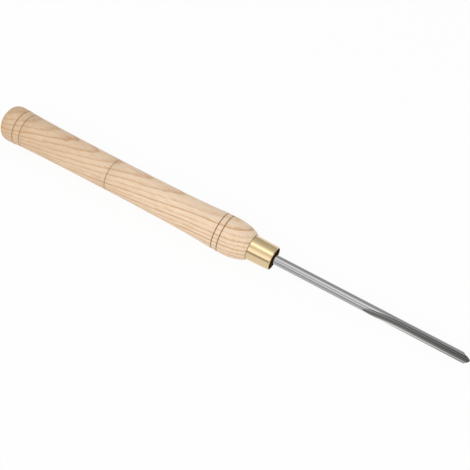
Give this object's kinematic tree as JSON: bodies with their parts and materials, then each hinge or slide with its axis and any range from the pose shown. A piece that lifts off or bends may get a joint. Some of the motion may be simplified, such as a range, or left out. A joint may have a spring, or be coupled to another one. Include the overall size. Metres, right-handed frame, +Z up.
{
  "type": "woodturning gouge",
  "caption": "Woodturning gouge: turned ash handle with burned grooves, brass cup ferrule and a round steel bar with a milled flute and a bevel ground round its nose.",
  "frame": {"origin": "on the bench, under the middle of the tool's length, with the tool lying on its belly and butt", "axes": "+X along the tool from the butt to the cutting tip, +Z up, flute facing -Y and a little up"},
  "size_m": [0.5378, 0.04, 0.04],
  "materials": {
    "ash": "pale ash, sanded and lightly oiled, long open grain",
    "brass": "polished",
    "tool_steel": "ground high-speed steel, bright along the bar"
  },
  "bodies": {
    "root": {"handle": "ash", "ferrule": "brass", "blade": "tool_steel"}
  },
  "joints": []
}
